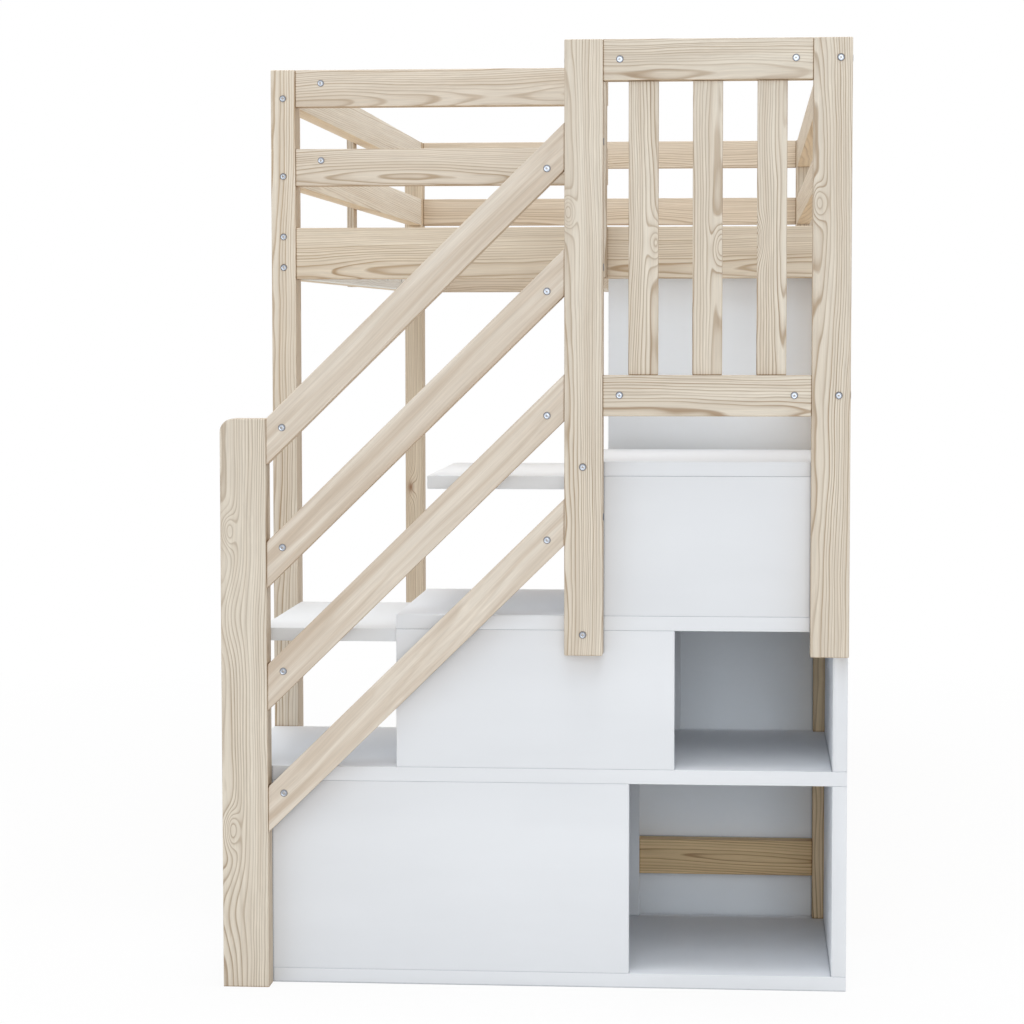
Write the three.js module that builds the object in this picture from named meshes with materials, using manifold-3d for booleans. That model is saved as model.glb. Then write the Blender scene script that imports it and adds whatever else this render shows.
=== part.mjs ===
// A loft bed in natural pine with a flight of storage stairs across its near end.
// Millimetres, +X up the stairs, +Y along the bed away from them, +Z up.
import * as THREE from 'three';
import { RoundedBoxGeometry } from 'three/addons/geometries/RoundedBoxGeometry.js';
import { mergeVertices } from 'three/addons/utils/BufferGeometryUtils.js';
import Module from 'manifold-3d';

// Bed frame
const bedWidth = 1020;
const bedLength = 2090;
const bedHeight = 1548;
const postWidth = 44;
const postDepth = 60;
const railThickness = 32;
const endRailInset = 2;
const sideRailInset = 10;
const guardHeight = 66;
const guardGap = 75;
const bedRailHeight = 92;
const stretcherHeight = 63;
const stretcherRise = 98;
const stayWidth = 50;
const stayThickness = 15;
const entryPostPlace = 561;
const entryPostThickness = 30;
const woodRadius = 1.5;

// Lying surface
const ledgerWidth = 22;
const ledgerHeight = 38;
const ledgerEndGap = 10;
const beamWidth = 44;
const slatCount = 14;
const slatWidth = 80;
const slatRowEndGap = 35;
const slatThickness = 18;
const slatEndGap = 2;
const tapeWidth = 30;
const tapeThickness = 2;
const tapeLetIn = 1;
const tapeSpacing = 520;

// Stair carcass, three levels high
const stairDepth = 463;
const boardThickness = 24;
const panelThickness = 18;
const backBoardThickness = 18;
const firstTreadHeight = 363;
const stepRise = 253;
const stepRun = 280;
const lowerCubbyWidth = 332;
const upperCubbyWidth = 258;
const backPanelThickness = 18;
const backPanelLap = 30;

// Pull-out boards under the second tread and under the landing
const pullBoardEndGap = 4;
const pullBoardThickness = 22;
const pullBoardShown = 230;
const pullBoardTopGap = 1;
const pullBoardFrontGap = 1;
const pullBoardBackGap = 2;
const runGap = 0.3;
const runnerWidth = 20;
const runnerHeight = 25;

// Stair railing and landing guard, in front of the carcass
const railingDepth = 42;
const newelWidth = 76;
const newelOverhang = 4;
const newelHeight = 939;
const newelCornerRadius = 22;
const tallPostWidth = 62;
const tallPostDrop = 314;
const railingRailInset = 2;
const stairRailCount = 4;
const stairRailRise = 477;
const stairRailPitch = 202;
const stairRailWidth = 54;
const stairRailCornerRadius = 9;
const landingGuardGap = 75;
const guardSlatCount = 3;
const guardSlatWidth = 48;
const guardSlatEdgeGapShare = 0.2135;
const guardSlatThickness = 18;
const guardSlatInset = 9;

// Places that several pieces share
const stairFront = railingDepth;
const bedFront = stairFront + stairDepth;
const bedBack = bedFront + bedLength;
const postRight = bedWidth - postWidth;
const sidesFrom = bedFront + postDepth;
const sidesTo = bedBack - postDepth;
const sideRailLength = sidesTo - sidesFrom;
const nearRailFront = bedFront + endRailInset;
const nearRailBack = nearRailFront + railThickness;
const farRailFront = bedBack - endRailInset - railThickness;
const nearStretcherFront = bedFront + backBoardThickness;
const farStretcherFront = bedBack - backBoardThickness - railThickness;
const endRailLength = postRight - postWidth;
const topGuardBase = bedHeight - guardHeight;
const middleGuardBase = topGuardBase - guardGap - guardHeight;
const bedRailBase = middleGuardBase - guardGap - bedRailHeight;
const slatBase = bedRailBase + ledgerHeight;
const landingLeft = 2 * stepRun;
const landingTop = firstTreadHeight + 2 * stepRise;
const tallPostBase = landingTop - tallPostDrop;
const entryRight = entryPostPlace + postWidth;

const wasm = await Module();
wasm.setup();

function finish(name, color, roughness) {
  return () => new THREE.MeshStandardMaterial({ name, color, roughness, metalness: 0 });
}
const pine = finish('pine', '#d9cdbc', 0.6);
const slatWood = finish('slat_wood', '#dcd0bd', 0.7);
const whitePaint = finish('white_paint', '#dfe3e6', 0.45);
const whiteBoard = finish('white_board', '#dcdfe2', 0.5);

const assembly = new THREE.Group();

function add(name, geometry, material, x, y, z) {
  const piece = new THREE.Mesh(geometry, material());
  piece.name = name;
  piece.position.set(x, y, z);
  assembly.add(piece);
}

// A timber with every arris rounded, placed by its lowest corner.
function timber(name, [x, y, z], [width, depth, height]) {
  const geometry = new RoundedBoxGeometry(width, depth, height, 1, woodRadius);
  add(name, geometry, pine, x + width / 2, y + depth / 2, z + height / 2);
}

// A square-edged board, placed by its lowest corner.
function board(name, material, [x, y, z], [width, depth, height]) {
  const geometry = new THREE.BoxGeometry(width, depth, height);
  add(name, geometry, material, x + width / 2, y + depth / 2, z + height / 2);
}

// A flat outline in X and Z, cut from a plank of the given thickness with softened arrises.
function cutPlank(outline, thickness) {
  const geometry = new THREE.ExtrudeGeometry(outline, {
    depth: thickness - 2 * woodRadius,
    bevelThickness: woodRadius,
    bevelSize: woodRadius,
    bevelOffset: -woodRadius,
    bevelSegments: 2,
    curveSegments: 4,
  });
  geometry.rotateX(Math.PI / 2);
  geometry.translate(0, thickness - woodRadius, 0);
  return geometry;
}

function manifoldOf(geometry) {
  const bare = geometry.clone();
  bare.deleteAttribute('normal');
  bare.deleteAttribute('uv');
  const merged = mergeVertices(bare);
  const vertProperties = new Float32Array(merged.attributes.position.array);
  const triVerts = new Uint32Array(merged.index.array);
  return new wasm.Manifold(new wasm.Mesh({ numProp: 3, vertProperties, triVerts }));
}

function geometryOf(solid) {
  const mesh = solid.getMesh();
  const geometry = new THREE.BufferGeometry();
  geometry.setAttribute('position', new THREE.BufferAttribute(mesh.vertProperties, 3));
  geometry.setIndex(new THREE.BufferAttribute(mesh.triVerts, 1));
  const flat = geometry.toNonIndexed();
  flat.computeVertexNormals();
  return flat;
}

// Four corner posts, and the short post beside the way in, lapped over the front of the near rails.
function addPosts() {
  const size = [postWidth, postDepth, bedHeight];
  timber('near_left_post', [0, bedFront, 0], size);
  timber('near_right_post', [postRight, bedFront, 0], size);
  timber('far_left_post', [0, sidesTo, 0], size);
  timber('far_right_post', [postRight, sidesTo, 0], size);
  const entryFront = nearRailFront - entryPostThickness;
  const entrySize = [postWidth, entryPostThickness, bedHeight - bedRailBase];
  timber('entry_post', [entryPostPlace, entryFront, bedRailBase], entrySize);
}

// Bed rails and two guard rails above them on each side; the near guards stop at the entry post.
function addRails() {
  const right = bedWidth - sideRailInset - railThickness;
  const tiers = [
    ['bed_rail', bedRailBase, bedRailHeight, endRailLength],
    ['middle_guard', middleGuardBase, guardHeight, entryRight - postWidth],
    ['top_guard', topGuardBase, guardHeight, entryRight - postWidth],
  ];
  for (const [tier, base, height, nearLength] of tiers) {
    timber(`near_${tier}`, [postWidth, nearRailFront, base], [nearLength, railThickness, height]);
    timber(`far_${tier}`, [postWidth, farRailFront, base], [endRailLength, railThickness, height]);
    const side = [railThickness, sideRailLength, height];
    timber(`left_${tier}`, [sideRailInset, sidesFrom, base], side);
    timber(`right_${tier}`, [right, sidesFrom, base], side);
  }
  const stretcher = [endRailLength, railThickness, stretcherHeight];
  timber('near_stretcher', [postWidth, nearStretcherFront, stretcherRise], stretcher);
  timber('far_stretcher', [postWidth, farStretcherFront, stretcherRise], stretcher);
}

// The upright that ties the left side's rails together at mid-length, on their outer faces.
function addGuardStay() {
  const middle = (sidesFrom + sidesTo) / 2;
  const place = [sideRailInset - stayThickness, middle - stayWidth / 2, bedRailBase];
  timber('left_guard_stay', place, [stayThickness, stayWidth, bedHeight - bedRailBase]);
}

// Ledgers on the side rails, a beam between the end rails, and the slats on their two tapes.
function addLyingSurface() {
  const left = sideRailInset + railThickness;
  const right = bedWidth - left;
  const ledger = [ledgerWidth, sideRailLength - 2 * ledgerEndGap, ledgerHeight];
  const ledgerFrom = sidesFrom + ledgerEndGap;
  board('left_slat_ledger', whitePaint, [left, ledgerFrom, bedRailBase], ledger);
  board('right_slat_ledger', whitePaint, [right - ledgerWidth, ledgerFrom, bedRailBase], ledger);
  const beam = [beamWidth, farRailFront - nearRailBack, ledgerHeight];
  board('slat_beam', whitePaint, [(bedWidth - beamWidth) / 2, nearRailBack, bedRailBase], beam);

  const slatLength = right - left - 2 * slatEndGap;
  const rowLength = sideRailLength - 2 * slatRowEndGap;
  const slatPitch = (rowLength - slatWidth) / (slatCount - 1);
  let base = null;
  for (let i = 0; i < slatCount; i += 1) {
    const slat = new THREE.BoxGeometry(slatLength, slatWidth, slatThickness);
    slat.translate(0, i * slatPitch + slatWidth / 2, slatThickness / 2);
    base = base ? base.add(manifoldOf(slat)) : manifoldOf(slat);
  }
  for (const side of [-1, 1]) {
    const tape = new THREE.BoxGeometry(tapeWidth, rowLength, tapeThickness);
    const lift = slatThickness - tapeLetIn + tapeThickness / 2;
    tape.translate(side * tapeSpacing / 2, rowLength / 2, lift);
    base = base.add(manifoldOf(tape));
  }
  const first = (sidesFrom + sidesTo - rowLength) / 2;
  add('slat_base', geometryOf(base), slatWood, bedWidth / 2, first, slatBase);
}

// The white carcass: floor board, then for each level its tread, front, left riser, right side and back.
function addCarcass() {
  const panelBack = stairFront + panelThickness;
  const innerDepth = stairDepth - panelThickness;
  const rightSide = bedWidth - boardThickness;
  const cubbyWidths = [lowerCubbyWidth, upperCubbyWidth, 0];
  const treadNames = ['tread_1', 'tread_2', 'landing_board'];
  board('carcass_floor', whitePaint, [0, stairFront, 0], [bedWidth, stairDepth, boardThickness]);
  for (let level = 0; level < treadNames.length; level += 1) {
    const left = level * stepRun;
    const treadTop = firstTreadHeight + level * stepRise;
    const treadBase = treadTop - boardThickness;
    const base = level === 0 ? boardThickness : treadTop - stepRise;
    const height = treadBase - base;
    const cubby = cubbyWidths[level];
    const frontEnd = cubby > 0 ? rightSide - cubby : bedWidth;
    const pullSpace = level === 0 ? 0 : pullBoardTopGap + pullBoardThickness + runGap;
    const number = level + 1;
    const tread = [bedWidth - left, stairDepth, boardThickness];
    board(treadNames[level], whitePaint, [left, stairFront, treadBase], tread);
    const front = [frontEnd - left, panelThickness, height];
    board(`front_panel_${number}`, whitePaint, [left, stairFront, base], front);
    const riser = [boardThickness, innerDepth, height - pullSpace];
    board(`riser_${number}`, whitePaint, [left, panelBack, base], riser);
    const sideFront = cubby > 0 ? stairFront : panelBack;
    const side = [boardThickness, bedFront - sideFront, height];
    board(`right_side_${number}`, whitePaint, [rightSide, sideFront, base], side);
    if (cubby > 0) addBackBoard(number, left, base, treadBase - pullSpace, frontEnd);
    if (level > 0) {
      const runnersTo = cubby > 0 ? frontEnd - boardThickness : rightSide;
      addPullBoard(level === 1 ? 'lower' : 'upper', left, treadBase, runnersTo, panelBack);
    }
  }
}

// Behind a box, between the bed posts: as wide as the front panel, and under the open cubby only a sill.
function addBackBoard(number, left, base, top, openFrom) {
  const from = Math.max(left, postWidth);
  const low = base - boardThickness;
  const outline = new THREE.Shape();
  outline.moveTo(0, 0);
  outline.lineTo(postRight - from, 0);
  outline.lineTo(postRight - from, boardThickness);
  outline.lineTo(openFrom - from, boardThickness);
  outline.lineTo(openFrom - from, top - low);
  outline.lineTo(0, top - low);
  outline.closePath();
  const geometry = new THREE.ExtrudeGeometry(outline, { depth: backBoardThickness, bevelEnabled: false });
  geometry.rotateX(Math.PI / 2);
  geometry.translate(0, backBoardThickness, 0);
  add(`back_board_${number}`, geometry, whitePaint, from, bedFront, low);
}

// A board that slides out to the left under a tread, on the riser's top edge and two runners.
function addPullBoard(name, left, treadBase, runnersTo, panelBack) {
  const base = treadBase - pullBoardTopGap - pullBoardThickness;
  const front = panelBack + pullBoardFrontGap;
  const depth = bedFront - pullBoardBackGap - front;
  const size = [runnersTo - left - pullBoardEndGap, depth, pullBoardThickness];
  board(`pull_board_${name}`, whitePaint, [left - pullBoardShown, front, base], size);
  const from = left + boardThickness;
  const runner = [runnersTo - from, runnerWidth, runnerHeight];
  const runnerBase = base - runGap - runnerHeight;
  board(`${name}_runner_front`, whitePaint, [from, panelBack, runnerBase], runner);
  board(`${name}_runner_back`, whitePaint, [from, bedFront - runnerWidth, runnerBase], runner);
}

// One board behind the near stretcher closes the cubbies and the landing's back.
function addBackPanel() {
  const size = [postRight - entryRight, backPanelThickness, bedRailBase + backPanelLap];
  const front = nearStretcherFront + railThickness;
  board('back_panel', whiteBoard, [entryRight, front, 0], size);
}

// The newel has one large round corner, at its top left.
function addNewel() {
  const outline = new THREE.Shape();
  outline.moveTo(0, 0);
  outline.lineTo(newelWidth, 0);
  outline.lineTo(newelWidth, newelHeight);
  outline.lineTo(newelCornerRadius, newelHeight);
  outline.absarc(newelCornerRadius, newelHeight - newelCornerRadius, newelCornerRadius,
    Math.PI / 2, Math.PI, false);
  outline.closePath();
  add('newel_post', cutPlank(outline, railingDepth), pine, -newelOverhang, 0, 0);
}

// Parallel slanted rails, cut upright at both ends, between the newel and the tall post.
function addStairRails() {
  const from = newelWidth - newelOverhang;
  const run = landingLeft - from;
  const slope = Math.atan2(stairRailRise, run);
  const cut = stairRailWidth / Math.cos(slope);
  const turn = Math.tan((Math.PI / 2 - slope) / 2);
  const setBack = stairRailCornerRadius * turn;
  for (let i = 0; i < stairRailCount; i += 1) {
    const outline = new THREE.Shape();
    outline.moveTo(0, -cut);
    outline.lineTo(run, stairRailRise - cut);
    outline.lineTo(run, stairRailRise);
    outline.lineTo(setBack * Math.cos(slope), setBack * Math.sin(slope));
    outline.absarc(stairRailCornerRadius, -setBack, stairRailCornerRadius,
      Math.PI / 2 + slope, Math.PI, false);
    outline.closePath();
    const geometry = cutPlank(outline, railThickness);
    const top = newelHeight - i * stairRailPitch;
    add(`stair_rail_${i + 1}`, geometry, pine, from, railingRailInset, top);
  }
}

// The landing's guard: two tall posts, a top and a bottom rail, and upright slats between them.
function addLandingGuard() {
  const post = [tallPostWidth, railingDepth, bedHeight - tallPostBase];
  const rightPost = bedWidth - tallPostWidth;
  timber('landing_left_post', [landingLeft, 0, tallPostBase], post);
  timber('landing_right_post', [rightPost, 0, tallPostBase], post);
  const from = landingLeft + tallPostWidth;
  const rail = [rightPost - from, railThickness, guardHeight];
  const bottomBase = landingTop + landingGuardGap;
  timber('landing_guard_top_rail', [from, railingRailInset, topGuardBase], rail);
  timber('landing_guard_bottom_rail', [from, railingRailInset, bottomBase], rail);
  const slatFrom = bottomBase + guardHeight;
  const slat = [guardSlatWidth, guardSlatThickness, topGuardBase - slatFrom];
  const opening = rightPost - from;
  const edgeGap = (opening - guardSlatCount * guardSlatWidth) * guardSlatEdgeGapShare;
  const slatStep = (opening - 2 * edgeGap - guardSlatWidth) / (guardSlatCount - 1);
  for (let i = 0; i < guardSlatCount; i += 1) {
    const left = from + edgeGap + i * slatStep;
    timber(`landing_guard_slat_${i + 1}`, [left, guardSlatInset, slatFrom], slat);
  }
  const sideLeft = bedWidth - endRailInset - railThickness;
  const sideRail = [railThickness, stairDepth, guardHeight];
  timber('landing_side_top_rail', [sideLeft, stairFront, topGuardBase], sideRail);
  timber('landing_side_bottom_rail', [sideLeft, stairFront, bottomBase], sideRail);
}

addPosts();
addRails();
addGuardStay();
addLyingSurface();
addCarcass();
addBackPanel();
addNewel();
addStairRails();
addLandingGuard();

// The origin is on the floor, under the middle of the whole object.
const lowestX = Math.min(sideRailInset - stayThickness, -newelOverhang, 0);
assembly.position.set(-(lowestX + bedWidth) / 2, -bedBack / 2, 0);

export default assembly;
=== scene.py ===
import math
import random

import bmesh
import bpy
from mathutils import Matrix, Vector


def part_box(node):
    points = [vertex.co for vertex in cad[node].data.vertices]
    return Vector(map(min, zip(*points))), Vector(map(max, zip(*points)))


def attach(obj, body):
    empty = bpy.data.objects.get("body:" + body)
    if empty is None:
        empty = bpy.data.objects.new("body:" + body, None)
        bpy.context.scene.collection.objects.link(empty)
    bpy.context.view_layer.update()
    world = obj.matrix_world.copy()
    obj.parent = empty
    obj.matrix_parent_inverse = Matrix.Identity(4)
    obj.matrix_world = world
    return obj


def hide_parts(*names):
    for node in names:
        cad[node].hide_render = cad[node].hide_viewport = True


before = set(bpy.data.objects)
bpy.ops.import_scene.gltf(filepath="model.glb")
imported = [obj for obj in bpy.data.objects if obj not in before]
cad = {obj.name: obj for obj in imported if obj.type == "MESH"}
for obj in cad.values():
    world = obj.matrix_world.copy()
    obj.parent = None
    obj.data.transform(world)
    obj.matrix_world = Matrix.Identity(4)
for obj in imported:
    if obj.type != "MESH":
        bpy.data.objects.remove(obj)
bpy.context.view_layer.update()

# The four bed posts: square pine posts, planed, with a small chamfer on every edge, sawn close to
# the side of the log, so their faces show fine upright lines. The rails are bolted to them.
white = (1, 1, 1, 1)


def paint(red, green, blue):
    """A colour as it looks on screen, from 0 to 255, as the linear value that a shader takes."""
    def linear(value):
        value /= 255
        return value / 12.92 if value <= 0.04045 else ((value + 0.055) / 1.055) ** 2.4
    return (linear(red), linear(green), linear(blue), 1.0)


def new_material(name):
    material = bpy.data.materials.new(name)
    material.use_nodes = True
    return material


def add(owner, kind, sockets=(), **traits):
    """One shader node. A socket given another node's output is wired to it, any other is set."""
    node = owner.node_tree.nodes.new("ShaderNode" + kind)
    for trait, value in traits.items():
        setattr(node, trait, value)
    for socket, value in dict(sockets).items():
        if isinstance(value, bpy.types.NodeSocket):
            owner.node_tree.links.new(value, node.inputs[socket])
        else:
            node.inputs[socket].default_value = value
    return node


def maths(owner, operation, *values, clamp=False):
    """A sum on one to three numbers."""
    return add(owner, "Math", enumerate(values), operation=operation, use_clamp=clamp).outputs[0]


def vectors(owner, operation, *values):
    """A sum on one to three vectors or colours."""
    return add(owner, "VectorMath", enumerate(values), operation=operation).outputs[0]


def scaled(owner, colour, share):
    return add(owner, "VectorMath", {0: colour, "Scale": share}, operation="SCALE").outputs[0]


def length_of(owner, vector):
    return add(owner, "VectorMath", {0: vector}, operation="LENGTH").outputs["Value"]


def ranged(owner, value, low, high, to_low=0.0, to_high=1.0):
    """The value, moved from one range to another and held inside it."""
    return add(owner, "MapRange", enumerate((value, low, high, to_low, to_high))).outputs[0]


def mixed(owner, share, first, second):
    """The first colour where the share is 0, the second where it is 1."""
    return add(owner, "Mix", {0: share, 6: first, 7: second}, data_type="RGBA").outputs[2]


def noise(owner, place, scale=1.0, detail=2.0, roughness=0.5, output="Fac"):
    sockets = {"Vector": place, "Scale": scale, "Detail": detail, "Roughness": roughness}
    return add(owner, "TexNoise", sockets).outputs[output]


def noise_along(owner, length, scale, roughness=0.5, output="Fac"):
    """Noise that changes with one number only, as from year to year or along a trunk."""
    sockets = {"W": length, "Scale": scale, "Detail": 1.0, "Roughness": roughness}
    return add(owner, "TexNoise", sockets, noise_dimensions="1D").outputs[output]


def drawn_out(owner, place, waves, shift=None, **traits):
    """Noise with its own number of waves in a metre each way, fewest along the grain."""
    place = vectors(owner, "MULTIPLY", place, waves)
    if shift is not None:
        place = vectors(owner, "ADD", place, tuple(shift))
    return noise(owner, place, **traits)


def steps(ramp_node, stops):
    """Sets a colour ramp's stops, each a place and a grey value."""
    ramp = ramp_node.color_ramp
    while len(ramp.elements) > 1:
        ramp.elements.remove(ramp.elements[-1])
    for number, (place, grey) in enumerate(stops):
        element = ramp.elements[0] if number == 0 else ramp.elements.new(place)
        element.position = place
        element.color = (grey, grey, grey, 1)
    return ramp_node


def joint_shade(owner, colour, shade, reach=0.003):
    """The colour, darkened within a few millimetres of a joint or crease by how little open sky reaches it
    there: painted shade.
    """
    open_sky = add(owner, "AmbientOcclusion", {"Distance": reach}, samples=4).outputs["AO"]
    open_sky = ranged(owner, open_sky, 0.50, 0.92)
    return vectors(owner, "MULTIPLY", colour, mixed(owner, open_sky, (*shade, 1), white))


def finish(material, colour, roughness, height, strength, depth, **direct):
    """Wires colour, roughness and relief to the shader, and sets its other sockets directly."""
    shader = material.node_tree.nodes["Principled BSDF"]
    relief = add(material, "Bump", {"Strength": strength, "Distance": depth, "Height": height})
    wired = {"Base Color": colour, "Roughness": roughness, "Normal": relief.outputs[0]}
    for socket, output in wired.items():
        material.node_tree.links.new(output, shader.inputs[socket])
    for socket, value in direct.items():
        shader.inputs[socket].default_value = value
    return material


def log_of(owner, heart, lean):
    """A point's place in the log, whose heart passes through a point in a direction, and its turn."""
    turn = Vector((0, 0, 1)).rotation_difference(Vector(lean).normalized()).to_euler()
    place = add(owner, "TexCoord").outputs["Object"]
    sockets = {0: place, 1: tuple(heart), 2: tuple(turn)}
    return add(owner, "Mapping", sockets, vector_type="TEXTURE").outputs[0], turn


def sideways(owner, colour_noise, size):
    """A noise as a shift across the log, never along it."""
    centred = vectors(owner, "SUBTRACT", colour_noise, (0.5, 0.5, 0.5))
    return vectors(owner, "MULTIPLY", centred, (size * 4, size * 4, 0))


def knotted(owner, radius, place, turn, heart, knots):
    """Round a branch the rings swell out, which draws a knot's eye and the lines that pass it.
    Gives the new distance from the heart, and the knots' dark cores."""
    dark = None
    for spot, size, lift, tone in knots:
        within = turn.to_matrix().inverted() @ (Vector(spot) - Vector(heart))
        sockets = {0: place, 1: tuple(within), 3: (1, 1, 2.4)}
        aside = add(owner, "Mapping", sockets, vector_type="TEXTURE").outputs[0]
        away = maths(owner, "POWER", maths(owner, "DIVIDE", length_of(owner, aside), size), 2.0)
        bell = maths(owner, "EXPONENT", maths(owner, "MULTIPLY", away, -1.0))
        radius = maths(owner, "MULTIPLY_ADD", bell, lift, radius)
        core = maths(owner, "MULTIPLY", maths(owner, "POWER", bell, 6.0), tone)
        dark = core if dark is None else maths(owner, "ADD", dark, core)
    return radius, dark


def year_lines(owner, radius, log, ring, shift, strength):
    """The dark wood that ends each year, from 0 to 1, wide in some years and faint in others."""
    count = maths(owner, "DIVIDE", radius, ring)
    years = noise_along(owner, maths(owner, "ADD", count, shift.y), 0.31)
    count = maths(owner, "MULTIPLY_ADD", years, 1.5, count)
    season = steps(add(owner, "ValToRGB", {0: maths(owner, "FRACT", count)}),
                   [(0.0, 0.0), (0.36, 0.03), (0.64, 0.30), (0.81, 1.0), (0.90, 0.94), (1.0, 0.0)])
    year = {"W": maths(owner, "FLOOR", count)}
    lot = add(owner, "TexWhiteNoise", year, noise_dimensions="1D").outputs["Value"]
    lot = ranged(owner, lot, 0.0, 1.0, 0.46, 1.0)
    # some stretches of the face show their rings more plainly than others
    zone = drawn_out(owner, log, (16, 16, 2.2), shift * 1.7, detail=1.0)
    lines = maths(owner, "MULTIPLY", season.outputs[0], lot)
    lines = maths(owner, "MULTIPLY", lines, ranged(owner, zone, 0.34, 0.64, 0.52, 1.0))
    return maths(owner, "MULTIPLY", lines, strength, clamp=True)


def flank_and_underside_shade(owner, colour, flank, belly):
    """The colour, toned browner and darker on the flanks and on the undersides: painted shade, for the lesser
    light that falls there.
    """
    facing = add(owner, "SeparateXYZ", {0: add(owner, "TexCoord").outputs["Normal"]})
    aside = maths(owner, "POWER", facing.outputs[0], 2.0)
    under = maths(owner, "MULTIPLY", facing.outputs[2], -1.0, clamp=True)
    colour = vectors(owner, "MULTIPLY", colour, mixed(owner, aside, white, (*flank, 1)))
    return vectors(owner, "MULTIPLY", colour, mixed(owner, under, white, (*belly, 1)))


def pine(name, heart, lean, ring=0.0038, wander=0.006, wave=0.0020, early=(223, 213, 197),
         late=(152, 123, 90), strength=1.0, broad=0.20, knots=(), flank=(0.95, 0.90, 0.84),
         belly=(0.80, 0.68, 0.54)):
    """Planed pine. The yearly rings run round the log's heart, so each face of the timber cuts them
    into lines, arches or rings as the real one does. Early and late are the two woods' colours."""
    material = new_material(name)
    luck = random.Random(name)
    shift = Vector((luck.uniform(2, 9), luck.uniform(2, 9), luck.uniform(2, 9)))
    early, late, knot_brown = paint(*early), paint(*late), paint(142, 98, 66)
    log, turn = log_of(material, heart, lean)
    # the heart isn't straight: it bends slowly to one side and back along the trunk
    length = add(material, "SeparateXYZ", {0: log}).outputs[2]
    bend = noise_along(material, maths(material, "ADD", length, shift.x), 1.7, 0.35, "Color")
    bend = sideways(material, bend, wander)
    # and the rings themselves ripple a little
    ripple = drawn_out(material, log, (24, 24, 5.5), shift, output="Color")
    ripple = sideways(material, ripple, wave)
    moved = vectors(material, "ADD", vectors(material, "ADD", log, bend), ripple)
    rippled = vectors(material, "ADD", log, ripple)
    radius = length_of(material, vectors(material, "MULTIPLY", moved, (1, 1, 0)))
    radius, dark = knotted(material, radius, rippled, turn, heart, knots)
    lines = year_lines(material, radius, log, ring, shift, strength)
    # the fibres: hair-fine streaks along the grain, and slow changes of tone between them
    fibre = drawn_out(material, moved, (900, 900, 16), roughness=0.6)
    band = drawn_out(material, moved, (85, 85, 1.6), shift)
    streak = drawn_out(material, moved, (310, 310, 6), detail=1.0)
    body = mixed(material, ranged(material, band, 0.36, 0.68, 0.0, broad), early, late)
    body = mixed(material, lines, body, late)
    if dark is not None:
        body = mixed(material, maths(material, "MINIMUM", dark, 1.0), body, knot_brown)
    body = scaled(material, body, ranged(material, fibre, 0.3, 0.7, 0.94, 1.055))
    body = scaled(material, body, ranged(material, streak, 0.3, 0.7, 0.965, 1.035))
    # the flanks and undersides are browned, and the joints darkened: painted shade
    body = joint_shade(material, flank_and_underside_shade(material, body, flank, belly), (0.62, 0.50, 0.38))
    roughness = ranged(material, lines, 0.0, 1.0, 0.62, 0.50)
    height = maths(material, "MULTIPLY_ADD", lines, 0.7, fibre)
    return finish(material, body, roughness, height, 0.35, 0.0004,
                  **{"IOR": 1.45, "Specular IOR Level": 0.4})


def dress(name, material, radius=0.0009):
    """Gives a node its finish, and rounds the sharp edges that a plane or a cutter leaves."""
    node = cad[name]
    for slot in node.material_slots:
        slot.material = material
    weld = node.modifiers.new("weld", "WELD")
    weld.merge_threshold = 0.00002
    edge = node.modifiers.new("edge", "BEVEL")
    edge.limit_method, edge.angle_limit = "ANGLE", math.radians(20)
    edge.width, edge.segments, edge.use_clamp_overlap = radius, 2, True
    edge.harden_normals = True
    for face in node.data.polygons:
        face.use_smooth = True


def middle(name):
    low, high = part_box(name)
    return (low + high) / 2


def timber(name, off, lean, knots=(), wood=None, edge=0.0009, **look):
    """Dresses a node in pine. The log's heart passes at off from the node's own middle and leans.
    A knot has its place right and up from the front's lower left corner, its size, how far it
    lifts the rings, and how dark its core is."""
    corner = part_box(name)[0]
    knots = [(corner + Vector((across, 0, up)), *rest) for across, up, *rest in knots]
    heart = middle(name) + Vector(off)
    dress(name, pine(wood or "pine_" + name, heart, lean, knots=knots, **look), edge)


timber("near_left_post", (-0.034, 0.020, 0), (0.004, -0.006, 1), ring=0.0036,
       early=(228, 217, 200), late=(172, 144, 110), knots=[(0.058, 1.194, 0.012, 0.014, 0.0)])
timber("near_right_post", (-0.030, 0.010, 0), (0.006, 0.010, 1), ring=0.0036,
       early=(232, 209, 172), late=(134, 96, 60))
timber("far_left_post", (-0.060, -0.030, 0), (0.008, 0.005, 1),
       early=(227, 213, 191), late=(172, 144, 112), knots=[(0.0125, 0.684, 0.014, 0.016, 0.90)])
timber("far_right_post", (0.050, 0.040, 0), (-0.010, 0.004, 1), ring=0.0040)

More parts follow.
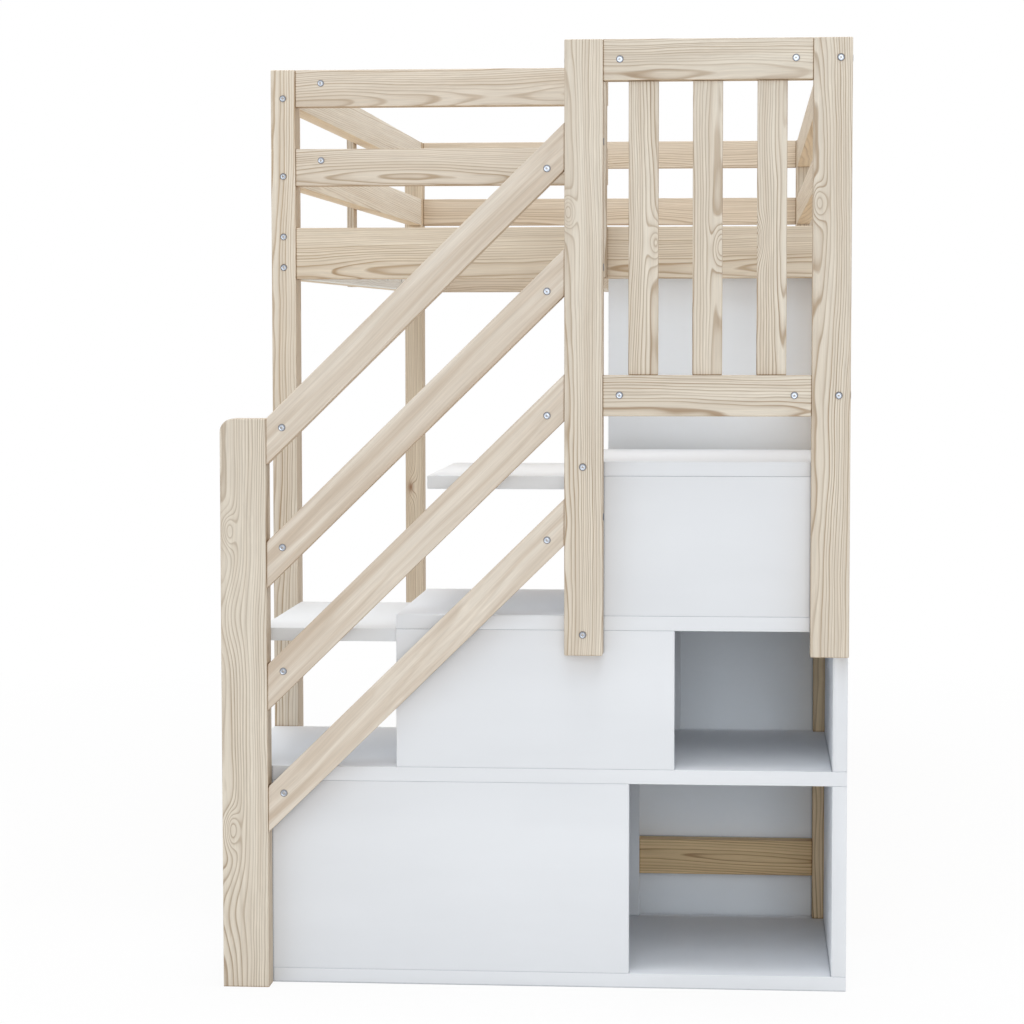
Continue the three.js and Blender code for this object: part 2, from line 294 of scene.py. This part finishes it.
# The bed frame's rails: flat pine boards between the posts, a deep one that carries the slats and
# two guard rails above it on each side. The front ones are sawn so that long flat arches show.
rail_logs = {
    # rail: where its heart passes, how the heart leans, and how wide a year's ring is
    "near_bed_rail": ((0, 0.012, -0.030), (1, -0.010, 0.010), 0.0034),
    "near_middle_guard": ((0, 0.012, -0.022), (1, -0.012, 0.004), 0.0032),
    "near_top_guard": ((0, 0.014, -0.024), (1, -0.012, 0.004), 0.0032),
    "far_bed_rail": ((0, 0.034, -0.060), (1, 0.008, 0.010), 0.0034),
    "far_middle_guard": ((0, 0.030, -0.040), (1, 0.006, -0.010), 0.0034),
    "far_top_guard": ((0, 0.032, -0.046), (1, -0.008, 0.006), 0.0034),
    "near_stretcher": ((0, -0.030, 0.006), (1, 0.020, -0.010), 0.0046),
    "far_stretcher": ((0, 0.040, 0.040), (1, 0.010, 0.010), 0.0044),
    "left_bed_rail": ((0.030, 0, -0.060), (0.010, 1, 0.012), 0.0038),
    "left_middle_guard": ((0.026, 0, -0.034), (0.008, 1, -0.014), 0.0038),
    "left_top_guard": ((0.026, 0, -0.040), (0.010, 1, 0.012), 0.0038),
    "right_bed_rail": ((-0.030, 0, -0.070), (0.010, 1, 0.010), 0.0040),
    "right_middle_guard": ((-0.034, 0, 0.050), (0.010, 1, 0.012), 0.0040),
    "right_top_guard": ((-0.030, 0, 0.044), (0.008, 1, -0.010), 0.0040),
}
rail_tones = {
    # the colours of the early and the late wood, for one rail or else for a side of the bed
    "near_stretcher": ((226, 197, 151), (150, 110, 68)),
    "near_bed_rail": ((230, 217, 197), (166, 134, 95)),
    "near": ((230, 219, 203), (168, 140, 106)),
    "far": ((226, 213, 195), (168, 142, 110)),
    # the side rails' tones are lighter than the end rails': painted light, for the light on their inner faces
    "left": ((251, 244, 231), (200, 177, 149)),
    "right": ((240, 229, 212), (190, 166, 136)),
}
end_rail_look = dict(wander=0.006, wave=0.0016)
# the side rails are straight in the grain, and only their undersides carry painted shade, browner
side_rail_look = dict(wander=0.0012, wave=0.0003, flank=(1, 1, 1), belly=(0.86, 0.76, 0.62))
for name, (off, lean, ring) in rail_logs.items():
    side = name.split("_")[0]
    early, late = rail_tones.get(name, rail_tones[side])
    look = side_rail_look if side in ("left", "right") else end_rail_look
    timber(name, off, lean, ring=ring, early=early, late=late, **look)

# The guard stay: a thin upright pine strip screwed to the outside of the left rails at the middle
# of their length, which ties the three rails together.
timber("left_guard_stay", (0.03, 0.03, 0), (0.01, 0.008, 1), wood="pine_guard_stay", ring=0.0040)

# The entry post: a short square pine post in front of the near rails, where the guard ends and the
# way up from the landing begins.
timber("entry_post", (0.026, 0.020, 0), (0.006, 0.006, 1), ring=0.0034)

# The slat base: two ledgers screwed inside the side rails, a beam down the middle, and fourteen
# spruce slats across them, held at even spacing by two woven tapes stapled to their tops.
# the ledgers are pale wood, made paler still as painted light, for the light that falls between the slats onto
# them
ledger_tones = dict(early=(248, 246, 240), late=(222, 216, 206))
beam_tones = dict(early=(230, 219, 202), late=(190, 166, 134))
for name, off, tones in (("left_slat_ledger", (0.05, 0, 0.03), ledger_tones),
                         ("right_slat_ledger", (-0.05, 0, 0.03), ledger_tones),
                         ("slat_beam", (0.05, 0, 0.03), beam_tones)):
    # their undersides keep only a trace of painted shade
    timber(name, off, (0.005, 1, 0.004), wood="spruce_" + name, ring=0.0040,
           flank=(1, 1, 1), belly=(1, 1, 0.98), **tones)


def skin(shape, loops):
    """Faces from each loop of points to the next, and one across either end."""
    for first, second in zip(loops, loops[1:]):
        for i in range(len(first)):
            j = (i + 1) % len(first)
            shape.faces.new((first[i], first[j], second[j], second[i]))
    shape.faces.new(list(reversed(loops[0])))
    shape.faces.new(loops[-1])


def bed_piece(name, shape, finishes):
    """A new closed piece of the bed, with its faces turned outwards."""
    bmesh.ops.recalc_face_normals(shape, faces=shape.faces)
    mesh = bpy.data.meshes.new(name)
    shape.to_mesh(mesh)
    shape.free()
    for material in finishes:
        mesh.materials.append(material)
    for face in mesh.polygons:
        face.use_smooth = True
    piece = bpy.data.objects.new(name, mesh)
    bpy.context.scene.collection.objects.link(piece)
    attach(piece, "bed")
    return piece


def slat_outline(width, thick, round_off):
    """A slat seen from its end, with rounded long edges, and points spread over its top."""
    points = []
    for corner, (across, up) in enumerate(((1, 1), (-1, 1), (-1, -1), (1, -1))):
        for step in range(4):
            turn = math.radians(90 * corner + 30 * step)
            points.append((across * (width / 2 - round_off) + round_off * math.cos(turn),
                           up * (thick / 2 - round_off) + round_off * math.sin(turn)))
        if corner == 0:
            points += [(width * share, thick / 2) for share in (0.25, 0.0, -0.25)]
    return points


base_low, base_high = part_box("slat_base")
slat_count, slat_wide, slat_thick = 14, 0.080, 0.018
slat_rounding, slat_chamfer = 0.003, 0.0012
slat_pitch = (base_high.y - base_low.y - slat_wide) / (slat_count - 1)
slat_level = base_low.z + slat_thick / 2
slat_middles = [base_low.y + slat_wide / 2 + number * slat_pitch for number in range(slat_count)]
heart_below = 0.05
slat_woods = [pine(f"spruce_slat_{kind}", (0, off, slat_level - heart_below),
                   (1, 0.01, 0.012 * (kind - 1)), early=(234, 222, 204), late=(196, 170, 136))
              for kind, off in enumerate((0.20, -0.31, 0.55))]
slat_stations = [(base_low.x, slat_chamfer), (base_low.x + slat_chamfer, 0), (-0.3, 0), (0, 0), (0.3, 0),
                 (base_high.x - slat_chamfer, 0), (base_high.x, slat_chamfer)]
for number, y in enumerate(slat_middles):
    shape = bmesh.new()
    loops = []
    for x, cut in slat_stations:
        narrow, thin = 1 - cut / (slat_wide / 2), 1 - cut / (slat_thick / 2)
        loops.append([shape.verts.new((x, y + across * narrow, slat_level + up * thin))
                      for across, up in slat_outline(slat_wide, slat_thick, slat_rounding)])
    skin(shape, loops)
    slat = bed_piece(f"slat_{number + 1:02d}", shape, [slat_woods[number % 3]])
    for face in slat.data.polygons:
        face.use_smooth = abs(face.normal.x) < 0.9


def webbing(name):
    """Woven polyester tape: ribs across it and the edge threads, off-white."""
    material = new_material(name)
    place = add(material, "TexCoord").outputs["Object"]
    ribs = {"Vector": place, "Scale": 160.0, "Distortion": 0.6, "Detail": 1.0, "Detail Scale": 3.0}
    warp = {"Vector": place, "Scale": 260.0, "Distortion": 0.4, "Detail": 1.0}
    ribs = add(material, "TexWave", ribs, wave_type="BANDS", bands_direction="Y").outputs["Fac"]
    warp = add(material, "TexWave", warp, wave_type="BANDS", bands_direction="X").outputs["Fac"]
    weave = maths(material, "MULTIPLY", ribs, warp)
    soil = ranged(material, noise(material, place, 35.0, 3.0), 0.4, 0.8, 0.0, 0.18)
    shade = mixed(material, weave, paint(196, 194, 186), paint(236, 235, 228))
    shade = mixed(material, soil, shade, paint(176, 172, 160))
    roughness = ranged(material, weave, 0.0, 1.0, 0.9, 0.7)
    return finish(material, shade, roughness, weave, 0.6, 0.0004)


def steel(name, bright, rough):
    """Bright zinc-plated steel with faint tumbling marks."""
    material = new_material(name)
    place = add(material, "TexCoord").outputs["Object"]
    cloud = noise(material, place, 420.0, 3.0, 0.6)
    marks = noise(material, place, 2600.0)
    tint = mixed(material, cloud, paint(*[part - 26 for part in bright]), paint(*bright))
    roughness = ranged(material, cloud, 0.3, 0.7, rough - 0.06, rough + 0.10)
    return finish(material, tint, roughness, marks, 0.25, 0.0001, Metallic=1.0)


tape_weave = webbing("woven_tape")
tape_places = (-0.2575, 0.2625)
tape_wide, tape_thick, tape_end, tape_sag = 0.030, 0.0009, 0.004, 0.0035
tape_top = base_low.z + slat_thick + 0.0010
tape_steps = slat_count * 12
tape_section = [(-0.5, tape_thick), (-0.485, 0), (0.485, 0), (0.5, tape_thick)]
for number, x in enumerate(tape_places):
    shape = bmesh.new()
    loops = []
    for step in range(tape_steps + 1):
        y = base_low.y + tape_end + (base_high.y - base_low.y - 2 * tape_end) * step / tape_steps
        past = (y - base_low.y) % slat_pitch - slat_wide
        # between two slats the tape sags in a shallow bow
        sag = tape_sag * math.sin(math.pi * past / (slat_pitch - slat_wide)) if past >= 0 else 0
        loops.append([shape.verts.new((x + tape_wide * across, y, tape_top - sag - drop))
                      for across, drop in tape_section])
    skin(shape, loops)
    bed_piece(f"slat_tape_{number + 1}", shape, [tape_weave])

staple_steel = steel("staple_steel", (196, 198, 202), 0.30)
# a staple is a flat wire, whose ends turn down into the slat
staple_bends = [(-0.0055, -0.0016), (-0.0052, -0.0002), (-0.0042, 0.0),
                (0.0042, 0.0), (0.0052, -0.0002), (0.0055, -0.0016)]
staple_section = [(-0.0006, 0.0), (0.0, 0.0004), (0.0006, 0.0), (0.0, -0.0004)]
staple_offset = 0.012
shape = bmesh.new()
for x in tape_places:
    for y in slat_middles:
        for side in (-staple_offset, staple_offset):
            skin(shape, [[shape.verts.new((x + along, y + side + across, tape_top + up + lift))
                          for across, lift in staple_section] for along, up in staple_bends])
bed_piece("slat_staples", shape, [staple_steel])
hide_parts("slat_base")

# The stair boxes: three storage boxes of white-painted board, 24 mm thick, stacked back from the
# foot of the stairs, with front panels, treads laid over them and open cubbies at the right.


def painted_board(name, colour=(228, 229, 231), top_and_side_light=1.21):
    """Satin white paint on board: a fine roller texture, and a trace of tone left by the roller.
    The flat factor says how much whiter the tops and sides are painted than the fronts, as the photograph
    shows: painted light, standing in for the stronger light that falls on them."""
    material = new_material(name)
    place = add(material, "TexCoord").outputs["Object"]
    stipple = noise(material, place, 900.0, 2.0, 0.55)
    lap = ranged(material, drawn_out(material, place, (3, 3, 14), detail=3.0, roughness=0.45), 0.3, 0.7)
    shade = mixed(material, lap, paint(*[part - 3 for part in colour]), paint(*colour))
    facing = add(material, "SeparateXYZ", {0: add(material, "TexCoord").outputs["Normal"]})
    frontal = maths(material, "POWER", facing.outputs[1], 2.0)
    # tops and sides whiter than the fronts: painted light
    tint = mixed(material, frontal, (top_and_side_light * 0.985, top_and_side_light, top_and_side_light * 1.02, 1), white)
    # the boards darken in their joints and creases: painted shade
    shade = joint_shade(material, vectors(material, "MULTIPLY", shade, tint), (0.50, 0.51, 0.53))
    roughness = ranged(material, stipple, 0.3, 0.7, 0.48, 0.60)
    return finish(material, shade, roughness, stipple, 0.16, 0.0003,
                  **{"IOR": 1.45, "Specular IOR Level": 0.35})


board_edge = 0.0010
white_paint = painted_board("white_paint")
dress("carcass_floor", white_paint, board_edge)
for name in ("tread_1", "tread_2", "back_board_1", "back_board_2"):
    dress(name, white_paint, board_edge)
for level in (1, 2, 3):
    for kind in ("front_panel", "riser", "right_side"):
        dress(f"{kind}_{level}", white_paint, board_edge)
# the landing's top takes less of this painted light than the other boards
dress("landing_board", painted_board("landing_paint", top_and_side_light=1.04), board_edge)

# The pull-out boards: two white-painted boards that slide out of the riser above each tread, on a
# pair of planed runners under their long edges.
# the pull boards take less painted light on their tops and sides than the other boards
pull_board_paint = painted_board("pull_board_paint", (231, 232, 233), 1.08)
for level in ("lower", "upper"):
    dress(f"pull_board_{level}", pull_board_paint, 0.0014)
    for side in ("front", "back"):
        runner = f"{level}_runner_{side}"
        timber(runner, (0, 0.03, 0.06), (1, 0.006, 0.008), wood="beech_" + runner, ring=0.0036,
               early=(222, 202, 172), late=(190, 160, 122))

# The back panel: a white-painted board that closes the stair boxes towards the bed and stands
# behind the landing, screwed to the stretcher and the near bed rail.
# its paint is whiter than the other boards': painted light, brightening it where it stands in shade behind the
# guard
dress("back_panel", painted_board("back_panel_lit_paint", (247, 250, 253), 1.0), board_edge)

# The newel and the stair rails: a wide pine post at the foot of the stairs, and four slanted pine
# rails, cut upright at both ends, each drawn against its posts by a bolt into a cross nut.
timber("newel_post", (-0.034, -0.004, 0), (0.002, -0.012, 1), wood="pine_newel", ring=0.0042,
       wander=0.004, wave=0.0022, late=(144, 117, 86),
       knots=[(0.013, 0.755, 0.013, 0.021, 0.06), (0.015, 0.262, 0.013, 0.021, 0.06),
              (0.011, 0.620, 0.030, 0.015, 0.0), (0.012, 0.130, 0.030, 0.015, 0.0)])
stair_rails = [f"stair_rail_{number}" for number in (1, 2, 3, 4)]
# the upright height of a stair rail's cut ends
rail_end = 0.0755


def rail_slope(name):
    """How much a stair rail rises for each metre to the right. Its cut ends are upright."""
    low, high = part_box(name)
    return (high.z - low.z - rail_end) / (high.x - low.x)


for number, name in enumerate(stair_rails, 1):
    timber(name, (0, 0.035 + 0.006 * number, 0.030), (1, 0.012, rail_slope(name) + 0.008),
           ring=0.0085, wander=0.004, wave=0.0012, early=(221, 210, 195), late=(176, 151, 124),
           strength=0.35, broad=0.50, edge=0.0016)

# The landing guard: two tall pine posts standing on the outside of the boxes, a top and a bottom
# rail between them, three upright slats, and a pair of side rails back to the bed.
guard_logs = {
    # piece: where its heart passes, how the heart leans, how wide a year's ring is, and its knots
    "landing_left_post": ((-0.032, 0.004, 0), (0.003, 0.012, 1), 0.0034,
                          [(0.006, 0.716, 0.011, 0.017, 0.03)]),
    "landing_right_post": ((-0.032, 0.014, 0), (0.002, -0.008, 1), 0.0034,
                           [(0.010, 0.730, 0.011, 0.015, 0.03)]),
    "landing_guard_top_rail": ((0.02, 0.014, -0.022), (1, 0.014, 0.006), 0.0034, []),
    "landing_guard_bottom_rail": ((-0.04, 0.016, -0.030), (1, -0.016, -0.010), 0.0038, []),
    "landing_guard_slat_1": ((0.020, 0.012, 0), (0.006, 0.004, 1), 0.0036,
                             [(0.046, 0.214, 0.013, 0.015, 0.0)]),
    "landing_guard_slat_2": ((0.018, 0.018, 0), (0.004, 0.003, 1), 0.0036,
                             [(0.047, 0.206, 0.013, 0.015, 0.0)]),
    "landing_guard_slat_3": ((0.018, 0.012, 0), (0.006, -0.010, 1), 0.0036,
                             [(0.002, 0.216, 0.013, 0.015, 0.0)]),
    "landing_side_top_rail": ((-0.034, 0, 0.050), (0.012, 1, 0.012), 0.0040, []),
    "landing_side_bottom_rail": ((-0.036, 0, 0.056), (0.010, 1, -0.012), 0.0040, []),
}
for name, (off, lean, ring, knots) in guard_logs.items():
    timber(name, off, lean, knots, ring=ring, wander=0.005, wave=0.0024)

# The bolts and cross nuts: zinc-plated furniture bolts whose flat dished heads stand a little proud
# of the posts, and slotted barrel nuts set flush in the faces of the rails.
front, back = Vector((0, -1, 0)), Vector((0, 1, 0))
left, right = Vector((-1, 0, 0)), Vector((1, 0, 0))
bolt_steel = steel("bolt_steel", (172, 175, 181), 0.28)
recess_shade_steel = steel("recess_shade_steel", (120, 123, 129), 0.42)
bolt_head = {
    # radius and height of each step, from the hidden back over the rim to the bottom of the socket
    "steps": [(0.0, -0.0010), (0.0059, -0.0010), (0.0059, 0.0006), (0.0055, 0.0010), (0.0050, 0.0009),
              (0.0044, 0.0005), (0.0030, 0.0004), (0.0015, 0.0005), (0.0012, -0.0004), (0.0, -0.0004)],
    # the dish is bright steel, and the rim round it and the socket in it are darker steel: painted shade for
    # the gap round the head and the hollow of the socket
    "dish": 0.0050, "socket": 0.0015, "sides": 24,
}
cross_nut = {
    "steps": [(0.0, -0.0010), (0.0059, -0.0010), (0.0059, 0.0003), (0.0055, 0.0006), (0.0050, 0.0005),
              (0.0044, 0.0002), (0.0028, 0.0003), (0.0013, 0.0004), (0.0011, -0.0004), (0.0, -0.0004)],
    "dish": 0.0050, "socket": 0.0013, "sides": 24,
}


def turned(shape, centre, outward, kind):
    """Adds a turned fitting: its steps spun round the direction that it faces."""
    spin = Vector((0, 0, 1)).rotation_difference(outward).to_matrix().to_4x4()
    stand = Matrix.Translation(centre) @ spin
    sides, profile = kind["sides"], kind["steps"]
    rings = []
    for radius, height in profile:
        angles = [math.tau * i / sides for i in range(sides)] if radius else [0.0]
        points = [Vector((radius * math.cos(angle), radius * math.sin(angle), height)) for angle in angles]
        rings.append([shape.verts.new(stand @ point) for point in points])
    for (start, _), (end, _), first, second in zip(profile, profile[1:], rings, rings[1:]):
        bright = kind["socket"] < max(start, end) <= kind["dish"]
        for i in range(sides):
            j = (i + 1) % sides
            corners = [first[i % len(first)], first[j % len(first)],
                       second[j % len(second)], second[i % len(second)]]
            # a ring of one point, on the axis, leaves three corners
            face = shape.faces.new(list(dict.fromkeys(corners)))
            # the rim and the socket take the darker steel: painted shade
            face.material_index = 0 if bright else 1


def fittings(name, places, kind):
    """One piece of all the fittings of a kind, each given by its place and the way it faces."""
    shape = bmesh.new()
    for centre, outward in places:
        turned(shape, centre, outward, kind)
    piece = bed_piece(name, shape, [bolt_steel, recess_shade_steel])
    piece.data.set_sharp_from_angle(angle=math.radians(50))


def on_face(name, outward, along, height):
    """A place on one upright face of a node, and the way that it faces."""
    low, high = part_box(name)
    if outward.x:
        return Vector((high.x if outward.x > 0 else low.x, along, height)), outward
    return Vector((along, high.y if outward.y > 0 else low.y, height)), outward


# the bed's posts: bolts from the ends into the side rails, and from the sides into the end rails
side_rail_bolts = (1.497, 1.358, 1.250, 1.195)
end_rail_bolts, end_rail_bolt_shift = (1.520, 1.385, 1.232, 1.207), 0.012
stretcher_bolts, stretcher_bolt_shift = (0.146, 0.112), 0.004
heads = []
for name, end, side in (("near_left_post", front, left), ("near_right_post", front, right),
                        ("far_left_post", back, left), ("far_right_post", back, right)):
    centre = middle(name)
    heads += [on_face(name, end, centre.x, z) for z in side_rail_bolts]
    heads += [on_face(name, side, centre.y + end_rail_bolt_shift * end.y, z) for z in end_rail_bolts]
    heads += [on_face(name, side, centre.y - stretcher_bolt_shift * end.y, z) for z in stretcher_bolts]
fittings("bed_bolts", heads, bolt_head)

# the guard rails' nuts: one near each end, but none where the near rails meet the entry post
left_nut_inset, nut_inset = 0.0465, 0.049
nuts = []
for kind, end_height, side_height in (("top_guard", 1.524, 1.499), ("middle_guard", 1.3865, 1.358)):
    nuts.append(on_face("near_" + kind, front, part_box("near_" + kind)[0].x + left_nut_inset, end_height))
    low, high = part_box("far_" + kind)
    for x in (low.x + left_nut_inset, high.x - nut_inset):
        nuts.append(on_face("far_" + kind, back, x, end_height))
    for name, outward in (("left_" + kind, left), ("right_" + kind, right)):
        low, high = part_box(name)
        nuts += [on_face(name, outward, y, side_height) for y in (low.y + nut_inset, high.y - nut_inset)]
fittings("bed_nuts", nuts, cross_nut)

# the stair rails: a nut near each end, a little off the rail's middle line, and a bolt through a post
foot_inset, head_inset, rail_middle, head_bolt_drop = 0.0265, 0.028, 0.0378, 0.030
foot_drops, head_drops = (0.0025, -0.0034, -0.0019, -0.0024), (0.0085, 0.0035, 0.0020, 0.0020)
posts_y = middle("newel_post").y
heads, nuts = [], []
for name, foot_drop, head_drop in zip(stair_rails, foot_drops, head_drops):
    low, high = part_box(name)
    for x, drop in ((low.x + foot_inset, foot_drop), (high.x - head_inset, head_drop)):
        nuts.append(on_face(name, front, x, low.z + rail_middle - drop + rail_slope(name) * (x - low.x)))
    heads.append(on_face("newel_post", left, posts_y, low.z + rail_middle))
    heads.append(on_face("landing_left_post", right, posts_y, high.z - head_bolt_drop))

# the landing guard: nuts in its rails, and bolts through its posts into the rails and the boxes
rail_nut_insets, side_nut_inset, side_bolt_inset, nut_lift = (0.027, 0.028), 0.045, 0.019, 0.001
for kind in ("top", "bottom"):
    name = f"landing_guard_{kind}_rail"
    low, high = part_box(name)
    z = (low.z + high.z) / 2 + nut_lift
    nuts += [on_face(name, front, x, z) for x in (low.x + rail_nut_insets[0], high.x - rail_nut_insets[1])]
    heads.append(on_face("landing_right_post", right, posts_y, z))
    if kind == "top":
        heads.append(on_face("landing_left_post", left, posts_y, z))
    heads.append(on_face("landing_right_post", front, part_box("landing_right_post")[1].x - side_bolt_inset, z))
    name = f"landing_side_{kind}_rail"
    nuts.append(on_face(name, right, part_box(name)[1].y - side_nut_inset, z))
box_bolts, box_bolt_shift = (0.8617, 0.589), -0.001
heads += [on_face("landing_left_post", front, middle("landing_left_post").x + box_bolt_shift, z)
          for z in box_bolts]
fittings("stair_bolts", heads, bolt_head)
fittings("stair_nuts", nuts, cross_nut)

# The screws: small countersunk cross-head screws that hold the guard stay, the ledgers and the back
# panel, driven flush with the surface.
wood_screw = {
    "steps": [(0.0, -0.0012), (0.0040, -0.0012), (0.0040, 0.0001), (0.0036, 0.0004), (0.0020, 0.0004),
              (0.0016, 0.0001), (0.0010, -0.0005), (0.0, -0.0006)],
    "dish": 0.0040, "socket": 0.0021, "sides": 16,
}
stay_screw_step, panel_screw_inset, ledger_screw_inset, ledger_screws = 0.014, 0.03, 0.08, 8
screws = []
stay = "left_guard_stay"
for kind in ("top_guard", "middle_guard", "bed_rail"):
    z = middle("left_" + kind).z
    screws += [on_face(stay, left, middle(stay).y + step, z + step)
               for step in (-stay_screw_step, stay_screw_step)]
panel_low, panel_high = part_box("back_panel")
for x in (panel_low.x + panel_screw_inset, middle("back_panel").x, panel_high.x - panel_screw_inset):
    screws += [on_face("back_panel", back, x, z) for z in stretcher_bolts]
for name, outward in (("left_slat_ledger", right), ("right_slat_ledger", left)):
    low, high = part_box(name)
    pitch = (high.y - low.y - 2 * ledger_screw_inset) / (ledger_screws - 1)
    screws += [on_face(name, outward, low.y + ledger_screw_inset + step * pitch, middle(name).z)
               for step in range(ledger_screws)]
fittings("wood_screws", screws, wood_screw)

# The camera, at the photograph's place, and a plain pale studio: a floor, a white surround and four
# large soft lamps.


def placed(name, data):
    """An object in the scene that isn't part of the bed."""
    thing = bpy.data.objects.new(name, data)
    bpy.context.scene.collection.objects.link(thing)
    return thing


lens = bpy.data.cameras.new("camera")
lens.sensor_width, lens.lens, lens.clip_end = 36.0, 100.206, 100.0
camera_place, camera_yaw, camera_dip, camera_roll = (0.34163, -5.89588, 1.09075), 4.6491, 3.74831, -0.0556
camera = placed("camera", lens)
camera.matrix_world = (Matrix.Translation(camera_place)
                       @ Matrix.Rotation(math.radians(camera_yaw), 4, "Z")
                       @ Matrix.Rotation(math.radians(90 - camera_dip), 4, "X")
                       @ Matrix.Rotation(math.radians(camera_roll), 4, "Z"))
bpy.context.scene.camera = camera


def seen(owner):
    """1 for a ray straight from the camera, off a gloss or through glass, 0 for one that only
    carries light."""
    ray = add(owner, "LightPath").outputs
    direct = maths(owner, "MAXIMUM", ray["Is Camera Ray"], ray["Is Glossy Ray"])
    return maths(owner, "MAXIMUM", direct, ray["Is Transmission Ray"])


floor_reach = 40
corners = [(across * floor_reach, along * floor_reach, 0)
           for across, along in ((-1, -1), (1, -1), (1, 1), (-1, 1))]
ground = bpy.data.meshes.new("floor")
ground.from_pydata(corners, [], [(0, 1, 2, 3)])
floor = placed("floor", ground)
floor_white = new_material("floor_white")
matt = floor_white.node_tree.nodes["Principled BSDF"]
matt.inputs["Base Color"].default_value = paint(242, 242, 242)
matt.inputs["Roughness"].default_value = 0.9
matt.inputs["Specular IOR Level"].default_value = 0.1
# the floor takes a little of the bed's shadow near the bed, and is as white as the surround far out
glow = add(floor_white, "Emission", {"Color": white, "Strength": 1.0})
out_from_bed = length_of(floor_white, add(floor_white, "TexCoord").outputs["Object"])
clear = ranged(floor_white, out_from_bed, 1.2, 3.4, 0.90, 1.0)
share = maths(floor_white, "MULTIPLY", seen(floor_white), clear)
blend = add(floor_white, "MixShader", {0: share, 1: matt.outputs[0], 2: glow.outputs[0]})
surface = floor_white.node_tree.nodes["Material Output"].inputs["Surface"]
floor_white.node_tree.links.new(blend.outputs[0], surface)
ground.materials.append(floor_white)

# the surround looks white, and lights the bed with about half of that
studio = bpy.data.worlds.new("studio")
bpy.context.scene.world = studio
studio.use_nodes = True
sky = studio.node_tree.nodes["Background"]
sky.inputs["Color"].default_value = white
studio.node_tree.links.new(ranged(studio, seen(studio), 0.0, 1.0, 0.52, 1.0), sky.inputs["Strength"])

cool, warm, neutral = (0.86, 0.93, 1.0), (1.0, 0.99, 0.97), (1.0, 1.0, 1.0)
lamp_target = Vector((0, 0, 0.8))
for name, place, size, power, tint in (("front_lamp", (0.8, -11.0, 2.4), 4.0, 216, cool),
                                       ("high_lamp", (0.3, -7.0, 7.5), 4.0, 80, cool),
                                       ("left_lamp", (-7.0, -8.5, 6.0), 5.0, 68, warm),
                                       ("top_lamp", (0.5, -1.0, 9.0), 5.0, 400, neutral)):
    lamp = bpy.data.lights.new(name, "AREA")
    lamp.color, lamp.shape, lamp.size, lamp.energy = tint, "SQUARE", size, power
    aim = (lamp_target - Vector(place)).to_track_quat("-Z", "Y").to_matrix().to_4x4()
    placed(name, lamp).matrix_world = Matrix.Translation(place) @ aim
bpy.context.scene.view_settings.view_transform = "Standard"
